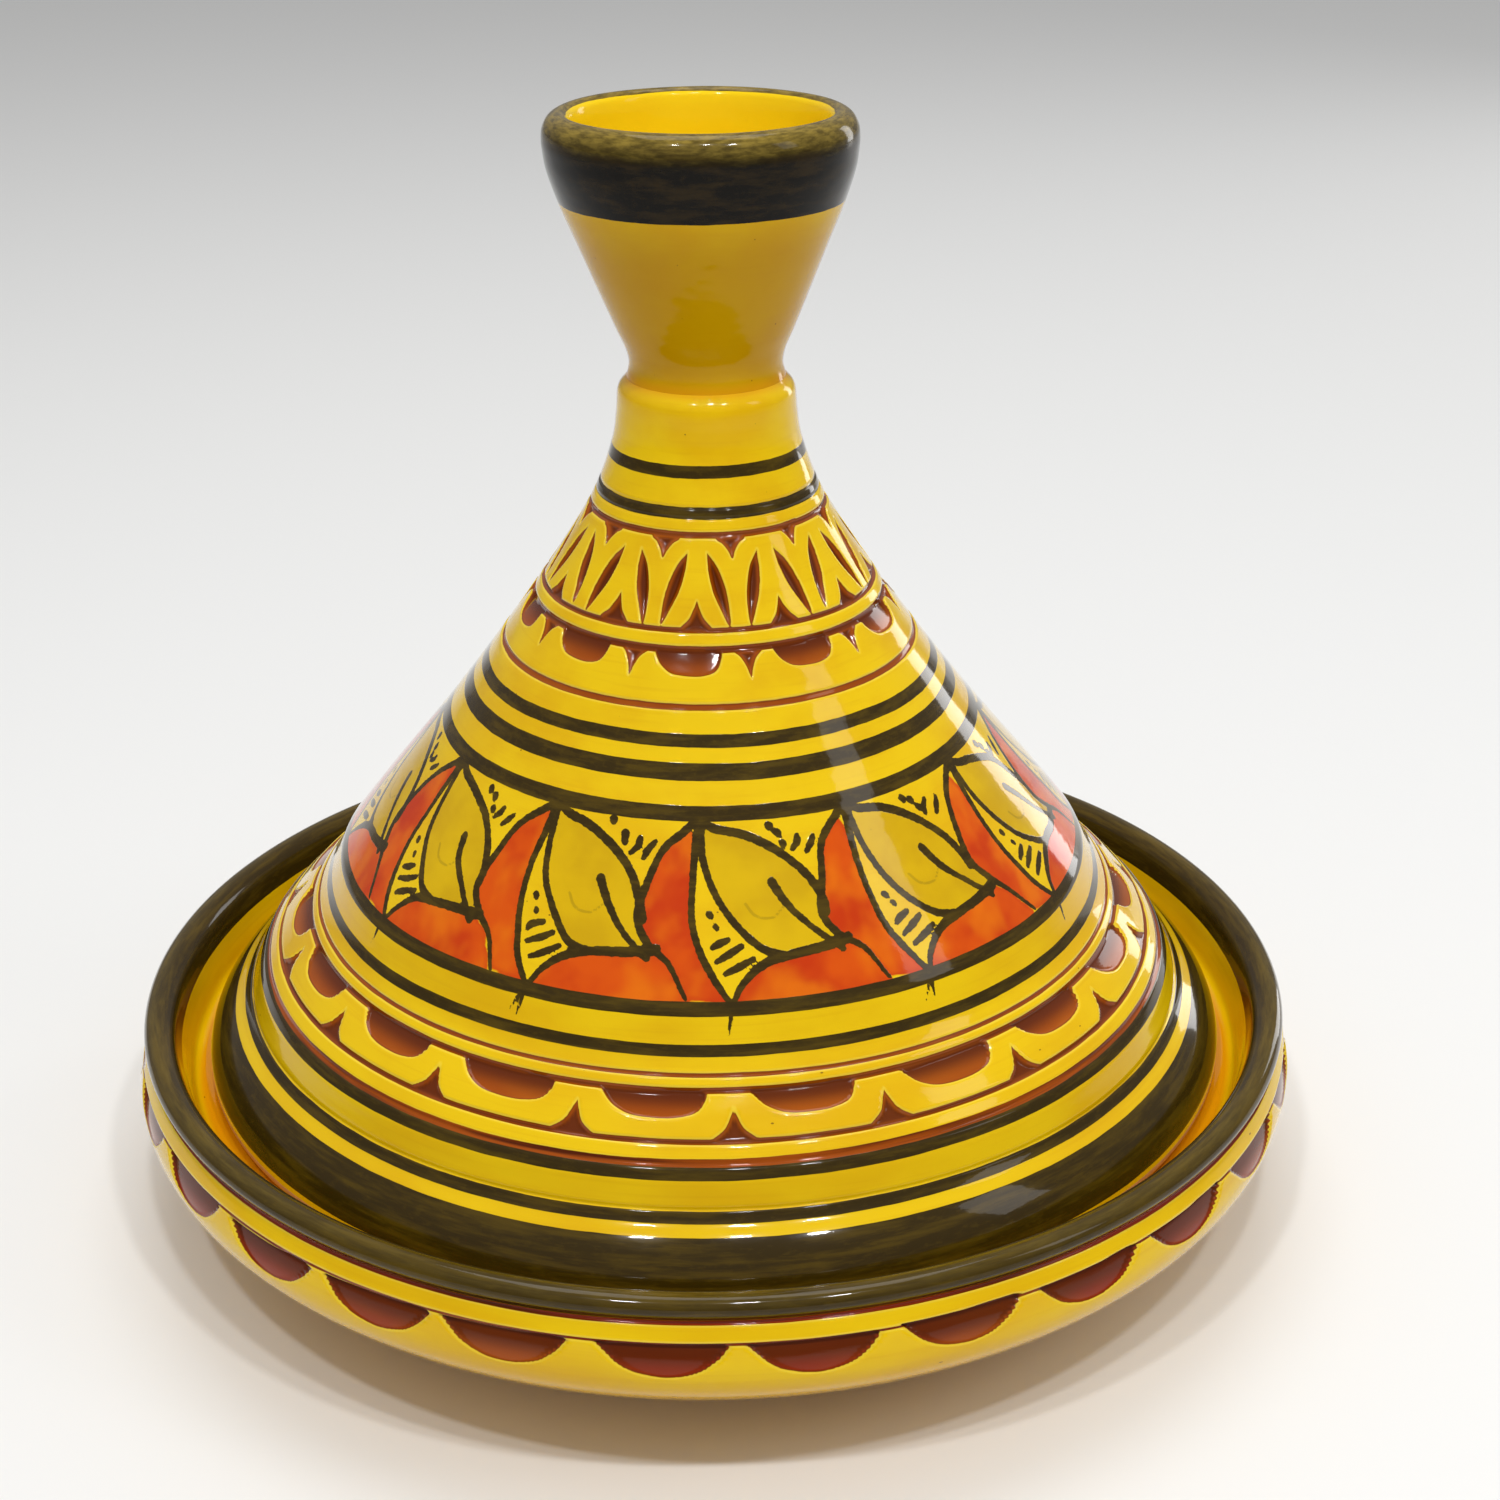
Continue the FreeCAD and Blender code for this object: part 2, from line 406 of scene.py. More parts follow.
LEAF_TIP = [(22.8, 119.0), (18.4, 120.3), (13.0, 121.1)]
DOME_FOOT = [(25.6, 122.4), (28.4, 129.4), (28.0, 131.0), (6.0, 131.0)]


def jittered(points, amount):
    """Hand-drawn copy: every inner point moves a little."""
    out = np.array(points, float)
    out[1:-1] += random.normal(0, amount, out[1:-1].shape) * (0.8, 0.9)
    return out


class Motif:
    """Brush and wash for one leaf, crescent and dome of the frieze."""

    def __init__(self, canvas, centre):
        self.canvas = canvas
        self.index, self.x, self.y = canvas.near(centre, -16, 40)

    def draw(self, points, widths, layer="ink"):
        """Brush stroke with half widths spread evenly along it."""
        path = flat(self.canvas.profile, smooth_path(points, 8))
        spread = np.interp(np.linspace(0, 1, len(path)), np.linspace(0, 1, len(widths)), widths)
        self.canvas.add(layer, self.index, stroke_distance(self.x, self.y, path, spread))

    def fill(self, layer, parts):
        """Closed area, its outline given in parts."""
        outline = flat(self.canvas.profile, np.vstack(parts))
        self.canvas.add(layer, self.index, inside_distance(self.x, self.y, outline))


def paint_marks(motif, number):
    """Dots, dashes, the tails below the lowest ring and the faint curl in the leaf."""
    for degrees, run, size in DOTS:
        x, y = degrees + random.normal(0, 0.25), run + random.normal(0, 0.3)
        motif.draw([(x, y), (x + 0.25, y + 0.3), (x + 0.3, y + 0.6)], (size, size * 0.9))
    slant = random.uniform(0.35, 0.9)
    for start, end in DASHES:
        half_rise = (end[1] - start[1]) / 2 * (slant + random.normal(0, 0.08))
        middle = ((start[0] + end[0]) / 2 + random.normal(0, 0.25), (start[1] + end[1]) / 2 + 0.2)
        dash = [(start[0], middle[1] - half_rise), middle, (end[0], middle[1] + half_rise)]
        motif.draw(dash, (0.6, 0.9, 0.65))
    for tail in TAILS[:1 + number % 2]:
        motif.draw(tail, (0.6, 0.15))
    motif.draw(CURL, (0.3, 0.3), "faint")


def paint_petals(canvas):
    """Leaf, crescent and dome outlines in brush strokes, with orange and olive washes."""
    pitch = 360.0 / PETAL_COUNT
    for number in range(PETAL_COUNT):
        motif = Motif(canvas, PETAL_CENTRE + number * pitch + random.normal(0, 0.35))
        stem, crescent = jittered(STEM, 0.25), jittered(CRESCENT, 0.3)
        over, under = jittered(LEAF_OVER, 0.3), jittered(LEAF_UNDER, 0.3)
        dome, vein = jittered(DOME, 0.25), jittered(VEIN, 0.4)
        motif.draw(stem, (1.1, 0.8, 0.7, 0.75, 0.8, 0.6))
        motif.draw(crescent, (1.0, 0.9, 0.75, 0.85, 0.9, 0.7, 0.45))
        motif.draw(over, (0.8, 1.0, 0.95, 0.8, 0.9, 0.95))
        motif.draw(under, (0.7, 0.75, 0.75, 0.8, 1.0))
        motif.draw(dome, (0.6, 0.75, 1.0, 1.0, 1.1, 1.3))
        motif.draw(vein, (0.95, 0.8, 0.6, 0.7))
        paint_marks(motif, number)

        bare = int(random.uniform(2, 9))
        motif.fill("wash", [smooth_path(crescent, 6)[bare:], smooth_path(stem, 6)[::-1][:-bare]])
        motif.fill("wash", [smooth_path(dome, 6), DOME_FOOT])
        motif.fill("leaf", [smooth_path(over, 6), LEAF_TIP, smooth_path(under, 6)[::-1]])


def groove_inside(turn, run, groove):
    """Distance inside a thin wavy groove, and its depth."""
    centre, half_width, depth, seed = groove
    away = np.abs(run - centre - 0.12 * wave(turn, seed))
    return half_width - away, depth * ease((half_width + 0.25 - away) / 0.5)


def lid_surface(turn, run):
    attributes = {name: np.full(len(turn), FAR) for name in ("carve", "ink", "wash", "leaf", "faint")}
    depth = np.zeros(len(turn))
    bands = [(FRIEZE_TOP, FRIEZE_END, carve_frieze, ("carve",)),
             (PETAL_TOP, PETAL_END + 5, paint_petals, ("ink", "wash", "leaf", "faint")),
             (LOWER_TOP, LOWER_END, carve_lower_band, ("carve",))]
    for first, last, decorate, names in bands:
        canvas = Canvas(lid_profile, turn, run, first, last, names)
        decorate(canvas)
        for name in names:
            attributes[name][canvas.chosen] = canvas.layers[name]
        depth[canvas.chosen] = canvas.depth

    for groove in [STAINED_GROOVE, *PLAIN_GROOVES]:
        depth = np.maximum(depth, groove_inside(turn, run, groove)[1])
    stained = groove_inside(turn, run, STAINED_GROOVE)[0]
    attributes["carve"] = np.maximum(attributes["carve"], stained)
    attributes["deep"] = depth
    unevenness = 0.12 * wave(turn + 2 * run, 21) + 0.12
    unevenness = unevenness * ease(run / 6) * (1 - ease((run - LIP_RUN) / 6))
    return unevenness + depth, attributes


# ---------------------------------------------------------------- knob

KNOB_CREST = (29.5, KNOB_TOP)
KNOB_MOUTH, KNOB_LIP_END, KNOB_BOTTOM = (26.9, 249.0), (33.7, 246.2), (17.5, 195.5)
KNOB_CUP = [(0, 208.0), (10.0, 209.0), (17.0, 214.5), (20.8, 223.0), (24.6, 233.0), (26.2, 244.0),
            KNOB_MOUTH]
KNOB_LIP = [KNOB_MOUTH, (27.7, 251.3), KNOB_CREST, (32.0, 251.4), (33.4, 249.0), KNOB_LIP_END]
KNOB_OUTSIDE = [KNOB_LIP_END, (33.0, 241.0), (30.7, 233.8), (26.8, 224.1), (23.1, 214.9), (19.7, 206.6),
                (17.5, 201.4), (16.9, 198.2), KNOB_BOTTOM]
knob_profile = Profile([KNOB_CUP, KNOB_LIP, KNOB_OUTSIDE, [KNOB_BOTTOM, (0, 195.5)]], KNOB_CREST)
KNOB_START, KNOB_END = float(knob_profile.run[0]), float(knob_profile.run[-1])
KNOB_BAND_END = knob_profile.where(30.6, 234.5)
KNOB_SEAM = knob_profile.where(*KNOB_BOTTOM)


def knob_surface(turn, run):
    unevenness = 0.08 + 0.07 * wave(turn + 1.5 * run, 31)
    return unevenness * (1 - ease((run - KNOB_SEAM + 6) / 5)), {"deep": np.zeros(len(turn))}


# ---------------------------------------------------------------- dish

RIM_GROOVE = (134.9, 44.3)
LEDGE_INNER, LEDGE_OUTER, RIM_INSIDE = (113.0, 32.9), (123.0, 32.9), (127.7, 42.3)
FOOT_TOP, FOOT_OUTER, FOOT_INNER, RECESS_EDGE = (95.0, 4.0), (93.0, 0.0), (87.5, 0.0), (85.8, 3.0)
DISH_WELL = [(0, 10.0), (48.0, 10.3), (84.0, 12.6), (100.0, 18.0), (108.4, 26.5), LEDGE_INNER]
DISH_LEDGE = [LEDGE_INNER, LEDGE_OUTER]
DISH_INNER = [LEDGE_OUTER, (125.4, 34.2), (126.7, 38.0), RIM_INSIDE]
DISH_RIM = [RIM_INSIDE, (129.4, 47.2), (131.2, 48.9), (133.2, 49.4), (135.2, 48.7), (136.1, 46.8),
            RIM_GROOVE]
DISH_WALL = [RIM_GROOVE, (136.0, 42.4), (137.3, 39.5), (138.1, 34.0), (136.8, 28.7), (131.4, 22.2),
             (116.0, 13.0), FOOT_TOP]
DISH_FOOT = [FOOT_TOP, (94.3, 0.6), FOOT_OUTER]
DISH_UNDER = [[FOOT_OUTER, FOOT_INNER], [FOOT_INNER, (86.3, 0.8), RECESS_EDGE], [RECESS_EDGE, (0, 3.0)]]
dish_profile = Profile([DISH_WELL, DISH_LEDGE, DISH_INNER, DISH_RIM, DISH_WALL, DISH_FOOT, *DISH_UNDER],
                       RIM_GROOVE)
DISH_COUNT, DISH_CENTRE = 28, -5.2
DISH_START, DISH_END = float(dish_profile.run[0]), float(dish_profile.run[-1])
RIM_BLACK_INSIDE = dish_profile.where(*RIM_INSIDE)
LEDGE_RUN = dish_profile.where(*LEDGE_OUTER)
WELL_EDGE = dish_profile.where(*LEDGE_INNER)
FOOT_RUN = dish_profile.where(*FOOT_TOP)
SCALLOP_TOP, SCALLOP_LOW = 4.6, 12.0


def dish_surface(turn, run):
    canvas = Canvas(dish_profile, turn, run, -1.5, SCALLOP_LOW + 4, ("carve",))
    channel(canvas, 0.35, 0.4, 0.35, 12, 0.08)
    top, low = SCALLOP_TOP, SCALLOP_LOW
    channel(canvas, top, 0.3, 0.5, 13, 0.05)
    scallop = [(-5.5, top), (0, top - 0.1), (5.6, top), (5.3, top + 1.9), (4.5, top + 3.9),
               (3.0, low - 1.2), (0.8, low), (-1.4, low - 0.6), (-3.3, top + 4.8), (-4.5, top + 2.4)]
    pitch = 360.0 / DISH_COUNT
    for number in range(DISH_COUNT):
        centre = DISH_CENTRE + number * pitch + random.normal(0, 0.25)
        chip(canvas, centre, shifted(scallop, 0, random.normal(0, 0.35)), top, low, 1.5, 9)
    carve = np.full(len(turn), FAR)
    depth = np.zeros(len(turn))
    carve[canvas.chosen] = canvas.layers["carve"]
    depth[canvas.chosen] = canvas.depth
    unevenness = np.maximum(0.08 * wave(turn + run, 41) + 0.1, 0.02)
    return unevenness + depth, {"carve": carve, "deep": depth}


# ---------------------------------------------------------------- node materials

def linear(red, green, blue):
    """Display colour, 0 to 255, as a scene colour."""
    shares = [value / 255 for value in (red, green, blue)]
    return (*(((share + 0.055) / 1.055) ** 2.4 if share > 0.0404 else share / 12.92 for share in shares), 1)


YELLOW = linear(236, 196, 6)
YELLOW_WARM = linear(226, 178, 2)
OCHRE = linear(214, 158, 4)
HALO = linear(244, 218, 70)
BROWN = linear(158, 72, 2)
# Dark brown of specks, streaks and cut edges; in deep cuts it is partly painted shade
BROWN_DEEP = linear(88, 32, 0)
BROWN_LIGHT = linear(176, 90, 8)
RUST = linear(142, 40, 0)
BLACK = linear(54, 40, 4)
OLIVE_BLACK = linear(92, 72, 10)
ORANGE = linear(216, 82, 0)
ORANGE_RED = linear(196, 54, 0)
ORANGE_PALE = linear(230, 118, 0)
JET = linear(12, 8, 3)
JET_OLIVE = linear(52, 39, 14)
# Deeper ochre of the knob's body below its black band, partly painted shade on its downward-facing surface
KNOB_OCHRE_AND_SHADE = linear(182, 132, 0)
LEAF = linear(216, 176, 0)
LEAF_DARK = linear(200, 158, 0)
PALE_YELLOW = linear(244, 212, 24)
# Olive-tan of thin black paint, partly a painted highlight on upward-facing crests
WORN_AND_HIGHLIGHT = linear(142, 120, 50)
CLAY = linear(226, 178, 128)
CLAY_DARK = linear(196, 138, 92)
# Amber where glaze pools; in the crease of the dish's ledge under the lid's edge it is partly painted shade
AMBER = linear(222, 142, 6)


class Nodes:
    """Short names for building a material's node tree."""

    def __init__(self, name):
        self.material = bpy.data.materials.new(name)
        self.material.use_nodes = True
        self.tree = self.material.node_tree
        self.shader = self.tree.nodes["Principled BSDF"]

    def add(self, kind, **inputs):
        node = self.tree.nodes.new(kind)
        for key, value in inputs.items():
            self.connect(node.inputs[key.replace("_", " ")], value)
        return node

    def connect(self, socket, value):
        if isinstance(value, bpy.types.NodeSocket):
            self.tree.links.new(value, socket)
        else:
            socket.default_value = value

    def math(self, operation, first, second=0.0, clamp=False):
        node = self.tree.nodes.new("ShaderNodeMath")
        node.operation = operation
        node.use_clamp = clamp
        self.connect(node.inputs[0], first)
        self.connect(node.inputs[1], second)
        return node.outputs[0]

    def mix(self, factor, first, second):
        node = self.tree.nodes.new("ShaderNodeMix")
        node.data_type = "RGBA"
        self.connect(node.inputs["Factor"], factor)
        self.connect(node.inputs[6], first)
        self.connect(node.inputs[7], second)
        return node.outputs[2]

    def step(self, value, low, high):
        """0 below low, 1 above high, smooth between. low above high turns it round."""
        node = self.tree.nodes.new("ShaderNodeMapRange")
        node.interpolation_type = "SMOOTHSTEP"
        self.connect(node.inputs["Value"], value)
        if low > high:
            low, high = high, low
            node.inputs["To Min"].default_value = 1
            node.inputs["To Max"].default_value = 0
        node.inputs["From Min"].default_value = low
        node.inputs["From Max"].default_value = high
        return node.outputs[0]

    def attribute(self, name, output="Fac"):
        node = self.tree.nodes.new("ShaderNodeAttribute")
        node.attribute_name = name
        return node.outputs[output]

    def noise(self, vector, scale, detail=3.0, roughness=0.5):
        inputs = {"Vector": vector, "Scale": scale, "Detail": detail, "Roughness": roughness}
        return self.add("ShaderNodeTexNoise", **inputs).outputs["Fac"]

    def stretched(self, vector, across, along):
        """Vector scaled round the axis and along the profile."""
        node = self.tree.nodes.new("ShaderNodeVectorMath")
        node.operation = "MULTIPLY"
        self.connect(node.inputs[0], vector)
        node.inputs[1].default_value = (across, across, along)
        return node.outputs[0]

    def centred(self, value, spread):
        """A 0 to 1 value moved to lie round 0, with the given spread."""
        return self.math("MULTIPLY", self.math("SUBTRACT", value, 0.5), spread)

    def span(self, run, first, last, softness):
        """1 inside the span of run from first to last, with soft edges."""
        middle, half = (first + last) / 2, (last - first) / 2
        away = self.math("ABSOLUTE", self.math("SUBTRACT", run, middle))
        return self.step(away, half + softness, half - softness)

    def bands(self, run, spans):
        """1 inside any of the (first, last) spans of run, with edges that are slightly soft."""
        total = None
        for first, last in spans:
            one = self.span(run, first, last, 0.07)
            total = one if total is None else self.math("MAXIMUM", total, one)
        return total


class GlazeNodes(Nodes):
    """Nodes with the values and noises that every part of a glaze shares."""

    def __init__(self, name):
        super().__init__(name)
        self.run = self.attribute("run")
        self.wrap = self.attribute("wrap", "Vector")
        slow = self.noise(self.stretched(self.wrap, 0.02, 0.03), 1.0, 2)
        self.fast = self.noise(self.stretched(self.wrap, 0.25, 0.5), 1.0, 3)
        wobble = self.math("ADD", self.centred(slow, 1.4), self.centred(self.fast, 0.3))
        self.brushed = self.math("ADD", self.run, wobble)
        self.patches = self.noise(self.stretched(self.wrap, 0.05, 0.06), 1.0, 4)
        self.brush = self.noise(self.stretched(self.wrap, 0.05, 0.9), 1.0, 3, 0.55)
        self.grain = self.noise(self.stretched(self.wrap, 0.7, 0.9), 1.0, 4, 0.6)


def yellow_ground(n, ochre, ochre_from, stain_from, amber_pool_and_shade_spans, pale_spans):
    """Uneven yellow, ochre and stained towards the bottom, amber where it pools, with a few specks; the
    knob's ochre and the amber on the dish's ledge are partly painted shade.
    """
    colour = n.mix(n.step(n.patches, 0.36, 0.7), YELLOW, YELLOW_WARM)
    colour = n.mix(n.math("MULTIPLY", n.step(n.brush, 0.5, 0.8), 0.25), colour, OCHRE)
    # Ochre from ochre_from on; on the knob this is partly painted shade on its downward-facing body
    if ochre_from is not None:
        colour = n.mix(n.math("MULTIPLY", n.step(n.brushed, *ochre_from), 0.75), colour, ochre)
    if stain_from is not None:
        stained = n.math("MULTIPLY", n.step(n.run, *stain_from), n.step(n.grain, 0.46, 0.62))
        colour = n.mix(n.math("MULTIPLY", stained, 0.55), colour, BROWN_LIGHT)
    # Amber bands: glaze gathered in creases, and on the dish's ledge partly painted shade under the lid's
    # edge
    for first, last, strength in amber_pool_and_shade_spans:
        colour = n.mix(n.math("MULTIPLY", n.span(n.brushed, first, last, 1.2), strength), colour, AMBER)
    if pale_spans:
        colour = n.mix(n.math("MULTIPLY", n.bands(n.brushed, pale_spans), 0.7), colour, PALE_YELLOW)
    cells = n.add("ShaderNodeTexVoronoi", Vector=n.stretched(n.wrap, 0.22, 0.2), Scale=1.0)
    speck = n.math("MULTIPLY", n.step(cells.outputs["Distance"], 0.05, 0.03), n.step(n.patches, 0.5, 0.54))
    return n.mix(n.math("MULTIPLY", speck, 0.75), colour, BROWN_DEEP)


def painted_washes(n, colour):
    """Orange wash, redder where it pools at its edge, and the olive wash of the leaves."""
    wash_field = n.math("ADD", n.attribute("wash"), n.centred(n.fast, 2.0))
    tone = n.noise(n.stretched(n.wrap, 0.09, 0.07), 1.0, 3)
    thin_wash = n.noise(n.stretched(n.wrap, 0.16, 0.08), 1.0, 2)
    orange = n.mix(n.step(tone, 0.34, 0.6), ORANGE_RED, ORANGE)
    orange = n.mix(n.math("MULTIPLY", n.step(thin_wash, 0.42, 0.7), 0.7), orange, ORANGE_PALE)
    orange = n.mix(n.math("MULTIPLY", n.step(wash_field, 1.3, 0.1), 0.45), orange, ORANGE_RED)
    leaf = n.math("MULTIPLY", n.step(n.attribute("leaf"), -0.3, 0.3), 0.85)
    colour = n.mix(leaf, colour, n.mix(n.step(tone, 0.35, 0.65), LEAF, LEAF_DARK))
    faint = n.math("MULTIPLY", n.step(n.attribute("faint"), -0.1, 0.1), 0.3)
    colour = n.mix(faint, colour, OLIVE_BLACK)
    return n.mix(n.step(wash_field, -0.3, 0.2), colour, orange)


def carved_brown(n, colour, brown):
    """Brown glaze in the cuts, darkest where they are deep (thick glaze, partly painted shade), with a pale
    line round each.
    """
    carve = n.attribute("carve")
    cut = n.math("ADD", carve, n.centred(n.fast, 0.25))
    colour = n.mix(n.math("MULTIPLY", n.step(carve, -0.6, -0.1), 0.5), colour, HALO)
    cut_brown = n.mix(n.math("MULTIPLY", n.step(n.patches, 0.4, 0.62), 0.6), brown, BROWN_LIGHT)
    # Darker brown where the cut is deep: thick glaze there, and partly painted shade in the recesses
    deepest = n.math("MULTIPLY", n.step(n.attribute("deep"), 0.4, 1.1), 0.9)
    cut_brown = n.mix(deepest, cut_brown, BROWN_DEEP)
    edge_line = n.math("MULTIPLY", n.step(cut, 0.45, 0.05), 0.5)
    return n.mix(n.step(cut, -0.04, 0.1), colour, n.mix(edge_line, cut_brown, BROWN_DEEP))


def dark_paint(n, black, thin_and_highlight_spans):
    """Mottled black paint that turns olive where it runs thin; on upward-facing crests this olive is partly
    a painted highlight.
    """
    mottle = n.noise(n.stretched(n.wrap, 0.1, 0.45), 1.0, 4, 0.6)
    dark = n.mix(n.math("MULTIPLY", n.step(mottle, 0.42, 0.68), 0.6), *black)
    dark = n.mix(n.math("MULTIPLY", n.step(n.grain, 0.5, 0.72), 0.25), dark, black[1])
    # Olive on the crests: black running thin, and partly a painted highlight where the crest faces up
    for first, last, strength in thin_and_highlight_spans:
        drawn = n.math("ADD", n.brushed, n.centred(mottle, 6.0))
        streaks = n.step(n.noise(n.stretched(n.wrap, 0.3, 1.0), 1.0, 4, 0.6), 0.3, 0.7)
        streaks = n.math("ADD", 0.35, n.math("MULTIPLY", streaks, 0.65))
        worn_and_highlight = n.math("MULTIPLY", n.span(drawn, first, last, 3.0), streaks)
        dark = n.mix(n.math("MULTIPLY", worn_and_highlight, strength), dark, WORN_AND_HIGHLIGHT)
    return dark


def glassy_surface(n, black_mask):
    """Clear coat over a dull body, with slow ripples, fine pits and slightly raised black paint."""
    n.shader.inputs["Specular IOR Level"].default_value = 0.05
    n.shader.inputs["Coat Roughness"].default_value = 0.03
    n.shader.inputs["Coat IOR"].default_value = 1.28
    ripple = n.noise(n.stretched(n.wrap, 0.06, 0.12), 1.0, 2)
    pit = n.noise(n.stretched(n.wrap, 1.5, 1.5), 1.0, 3)
    height = n.math("ADD", ripple, n.math("MULTIPLY", pit, 0.035))
    height = n.math("ADD", height, n.math("MULTIPLY", black_mask, 0.06))
    bump = n.add("ShaderNodeBump", Height=height, Strength=0.35, Distance=0.0005)
    n.connect(n.shader.inputs["Normal"], bump.outputs[0])
    n.connect(n.shader.inputs["Coat Normal"], bump.outputs[0])


def glaze(name, black_spans, brown_spans=(), clay_spans=(), amber_pool_and_shade_spans=(), thin_and_highlight_spans=(), pale_spans=(),
          carved=False, painted=False, brown=BROWN, ochre=OCHRE, ochre_from=None, stain_from=None,
          black=(BLACK, OLIVE_BLACK), coat=1.0):
    """Glossy yellow glaze with painted bands, carved brown parts and bare clay.

    A span is (first run, last run); the amber spans and the thin-and-highlight spans also have a strength
    from 0 to 1.
    """
    n = GlazeNodes(name)
    colour = yellow_ground(n, ochre, ochre_from, stain_from, amber_pool_and_shade_spans, pale_spans)
    black_mask = n.bands(n.brushed, black_spans)
    if painted:
        colour = painted_washes(n, colour)
        ragged = n.centred(n.noise(n.stretched(n.wrap, 1.1, 1.1), 1.0, 2), 0.5)
        ink = n.step(n.math("ADD", n.attribute("ink"), ragged), -0.08, 0.06)
        black_mask = n.math("MAXIMUM", black_mask, ink)
    if carved:
        colour = carved_brown(n, colour, brown)
    if brown_spans:
        streaked = n.mix(n.step(n.brush, 0.4, 0.7), brown, BROWN_DEEP)
        colour = n.mix(n.bands(n.brushed, brown_spans), colour, streaked)
    colour = n.mix(black_mask, colour, dark_paint(n, black, thin_and_highlight_spans))

    roughness = n.math("ADD", 0.1, n.math("MULTIPLY", n.grain, 0.08))
    if clay_spans:
        clay_mask = n.bands(n.brushed, clay_spans)
        colour = n.mix(clay_mask, colour, n.mix(n.grain, CLAY, CLAY_DARK))
        roughness = n.math("ADD", roughness, n.math("MULTIPLY", clay_mask, 0.55))
        n.connect(n.shader.inputs["Coat Weight"], n.math("SUBTRACT", 1.0, clay_mask, True))
    else:
        n.shader.inputs["Coat Weight"].default_value = coat
    n.connect(n.shader.inputs["Base Color"], colour)
    n.connect(n.shader.inputs["Roughness"], roughness)
    glassy_surface(n, black_mask)
    return n.material


# ---------------------------------------------------------------- pieces
# Zones are (first run, last run, row spacing, columns round the axis).

LID_BLACK = [(15.3, 18.0), (24.1, 26.7), (73.2, 76.1), (79.4, 83.2), (88.5, 91.9), (129.8, 133.0),
             (138.7, 141.2), (163.8, 166.5), (172.6, 175.1), (178.0, LIP_RUN + 0.4)]
LID_ZONES = [
    (LID_START, 0.0, 4.4, 240), (0.0, 4.0, 0.4, 240), (4.0, 23.2, 1.1, 240), (23.2, 27.6, 0.3, 240),
    (27.6, FRIEZE_TOP, 0.5, 480), (FRIEZE_TOP, FRIEZE_END, 0.4, 960), (FRIEZE_END, 66.0, 0.7, 480),
    (66.0, 68.6, 0.26, 480), (68.6, PETAL_TOP, 1.2, 480), (PETAL_TOP, PETAL_END + 4, 0.66, 960),
    (PETAL_END + 4, LOWER_TOP, 0.9, 480), (LOWER_TOP, 146.2, 0.35, 480), (146.2, 160.0, 0.4, 960),
    (160.0, LOWER_END, 0.5, 480), (LOWER_END, 172.0, 0.8, 240), (172.0, 174.4, 0.26, 240),
    (174.4, LIP_RUN, 0.8, 240), (LIP_RUN, LIP_RUN + 8.0, 0.7, 240), (LIP_RUN + 8.0, LID_END, 3.0, 120)]
lid_material = glaze("lid_glaze", LID_BLACK, brown_spans=[(162.1, 163.9)],
                     clay_spans=[(LIP_RUN + 1.6, LIP_RUN + 12.5)], amber_pool_and_shade_spans=[(-2.0, 0.8, 0.45)],
                     carved=True, painted=True)
lid_cone = turned_mesh("lid_cone_glazed", lid_profile, LID_ZONES, lid_surface, lid_material, (0.0,))

KNOB_ZONES = [(KNOB_START, -3.0, 0.9, 240), (-3.0, 8.0, 0.35, 240), (8.0, KNOB_SEAM, 0.8, 240),
              (KNOB_SEAM, KNOB_END, 3.0, 240)]
# The olive on the top of the knob's lip is partly a painted highlight
knob_material = glaze("knob_glaze", [(-1.6, KNOB_BAND_END)], thin_and_highlight_spans=[(-6.0, 5.8, 1.0)],
                      amber_pool_and_shade_spans=[(KNOB_SEAM - 1.6, KNOB_SEAM + 2.0, 0.4)],
                      # Ochre below the black band is partly painted shade on the knob's downward-facing
                      # body
                      pale_spans=[(KNOB_START, -1.4)], ochre=KNOB_OCHRE_AND_SHADE,
                      ochre_from=(KNOB_BAND_END - 12.0, KNOB_BAND_END + 12.0),
                      black=(JET, JET_OLIVE), coat=0.5)
lid_knob = turned_mesh("lid_knob_glazed", knob_profile, KNOB_ZONES, knob_surface, knob_material,
                       (KNOB_SEAM,))

DISH_ZONES = [
    (DISH_START, WELL_EDGE, 2.2, 240), (WELL_EDGE, LEDGE_RUN, 1.2, 240), (LEDGE_RUN, -1.5, 0.6, 240),
    (-1.5, 1.6, 0.24, 480), (1.6, SCALLOP_TOP - 1.2, 0.5, 480),
    (SCALLOP_TOP - 1.2, SCALLOP_LOW + 1.6, 0.3, 960), (SCALLOP_LOW + 1.6, FOOT_RUN, 1.2, 240),
    (FOOT_RUN, FOOT_RUN + 18, 0.7, 240), (FOOT_RUN + 18, DISH_END, 4.0, 120)]
# The olive on the crest of the dish's rim is partly a painted highlight
dish_material = glaze("dish_glaze", [(RIM_BLACK_INSIDE, -0.1)], brown_spans=[(-0.1, 0.8)],
                      clay_spans=[(FOOT_RUN, DISH_END + 5)],
                      # Amber in the crease of the ledge where the lid sits: glaze gathered there, partly
                      # painted shade under the lid's edge
                      amber_pool_and_shade_spans=[(LEDGE_RUN - 4, LEDGE_RUN + 1.5, 0.8)], thin_and_highlight_spans=[(-7.5, -5.5, 0.35)],
                      carved=True, brown=RUST, ochre_from=(9.0, 22.0),
                      stain_from=(FOOT_RUN - 22.0, FOOT_RUN - 4.0))
dish = turned_mesh("dish_glazed", dish_profile, DISH_ZONES, dish_surface, dish_material)

for piece, node, body, slot in ((dish, "dish", "dish", "dish_glaze"),
                                (lid_cone, "lid_cone", "lid", "lid_glaze"),
                                (lid_knob, "lid_knob", "lid", "knob_glaze")):
    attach(piece, body)
    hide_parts(node)


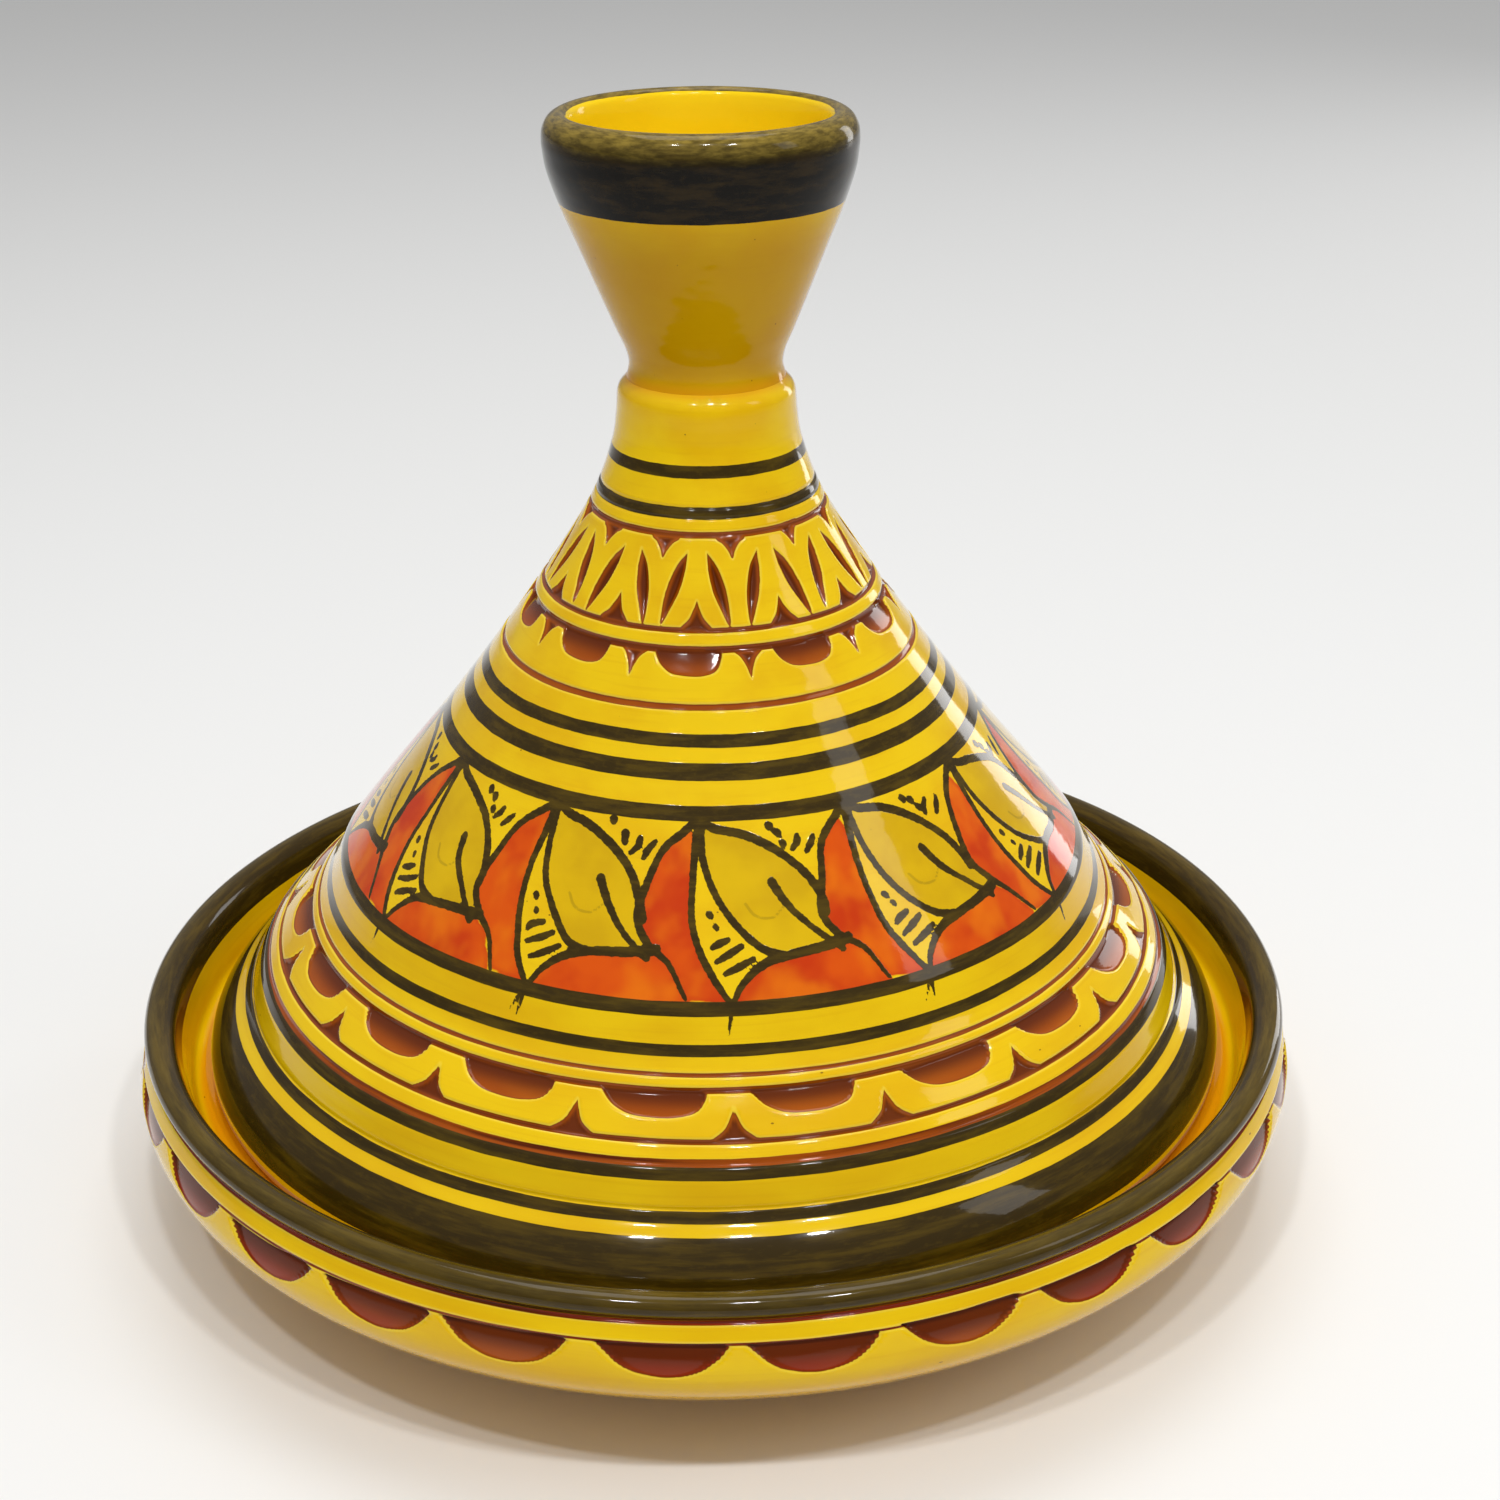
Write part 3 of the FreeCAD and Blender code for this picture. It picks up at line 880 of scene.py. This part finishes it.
# ---------------------------------------------------------------- floor, light, camera

FLOOR_COLOUR = (0.84, 0.84, 0.83, 1)
HORIZON_COLOUR = (0.42, 0.42, 0.43, 1)
LIGHT_TARGET = (0, 0, 0.1)
PANEL_SIZE, PANEL_POWER = (0.1, 0.075), 5.2
# Name, place, width and height, power in watts.
LIGHTS = [("overhead", (0.0, 0.5, 1.7), (1.0, 0.8), 8),
          ("window_front_right", (1.15, -0.45, 0.95), (0.3, 0.5), 1.4),
          ("window_back_right", (1.25, 1.2, 0.42), (0.3, 0.8), 3.0),
          ("panel_1", (-0.36, -0.8, 1.55), PANEL_SIZE, PANEL_POWER),
          ("panel_2", (0.1, -0.8, 1.6), PANEL_SIZE, PANEL_POWER),
          ("panel_3", (0.46, -0.8, 1.55), PANEL_SIZE, PANEL_POWER)]
CAMERA_PLACE, CAMERA_LENS = (0, -0.5167, 0.3377), 58.02
CAMERA_PITCH, CAMERA_YAW, CAMERA_ROLL = 24.249, -1.0, -0.4


def plain_floor():
    bpy.ops.mesh.primitive_plane_add(size=12, location=(0, 0, 0))
    floor = bpy.context.object
    floor.name = "floor"
    n = Nodes("floor_paper")
    n.shader.inputs["Base Color"].default_value = FLOOR_COLOUR
    n.shader.inputs["Roughness"].default_value = 0.7
    floor.data.materials.append(n.material)


def area_light(name, place, size, power):
    """Rectangular light aimed at the pot."""
    data = bpy.data.lights.new(name, "AREA")
    data.shape = "RECTANGLE"
    data.size, data.size_y = size
    data.energy = power
    lamp = bpy.data.objects.new(name, data)
    lamp.location = place
    lamp.rotation_euler = (Vector(LIGHT_TARGET) - Vector(place)).to_track_quat("-Z", "Y").to_euler()
    bpy.context.scene.collection.objects.link(lamp)


def studio_world():
    """Even grey surroundings that brighten upwards."""
    world = bpy.data.worlds.new("studio")
    bpy.context.scene.world = world
    world.use_nodes = True
    nodes, links = world.node_tree.nodes, world.node_tree.links
    coords = nodes.new("ShaderNodeTexCoord")
    split = nodes.new("ShaderNodeSeparateXYZ")
    ramp = nodes.new("ShaderNodeValToRGB")
    links.new(coords.outputs["Generated"], split.inputs[0])
    links.new(split.outputs["Z"], ramp.inputs["Fac"])
    ramp.color_ramp.elements[0].position = 0.0
    ramp.color_ramp.elements[0].color = HORIZON_COLOUR
    ramp.color_ramp.elements[1].position = 0.8
    ramp.color_ramp.elements[1].color = (1.0, 1.0, 1.0, 1)
    links.new(ramp.outputs["Color"], nodes["Background"].inputs["Color"])
    nodes["Background"].inputs["Strength"].default_value = 0.5


def lens_camera(place, pitch, yaw, roll, lens):
    """Camera looking along +Y, pitched down, then turned and rolled. Angles in degrees."""
    pitch, yaw, roll = (math.radians(value) for value in (pitch, yaw, roll))
    side = Vector((math.cos(yaw), math.sin(yaw), 0))
    ahead = Vector((-math.sin(yaw), math.cos(yaw), 0))
    forward = ahead * math.cos(pitch) - Vector((0, 0, math.sin(pitch)))
    up = ahead * math.sin(pitch) + Vector((0, 0, math.cos(pitch)))
    right = side * math.cos(roll) + up * math.sin(roll)
    top = up * math.cos(roll) - side * math.sin(roll)
    data = bpy.data.cameras.new("camera")
    data.sensor_width = 36
    data.lens = lens
    camera = bpy.data.objects.new("camera", data)
    turned = Matrix((right, top, -forward)).transposed().to_4x4()
    camera.matrix_world = Matrix.Translation(Vector(place)) @ turned
    bpy.context.scene.collection.objects.link(camera)
    bpy.context.scene.camera = camera


plain_floor()
studio_world()
for name, place, size, power in LIGHTS:
    area_light(name, place, size, power)
lens_camera(CAMERA_PLACE, CAMERA_PITCH, CAMERA_YAW, CAMERA_ROLL, CAMERA_LENS)
bpy.context.scene.view_settings.view_transform = "Standard"
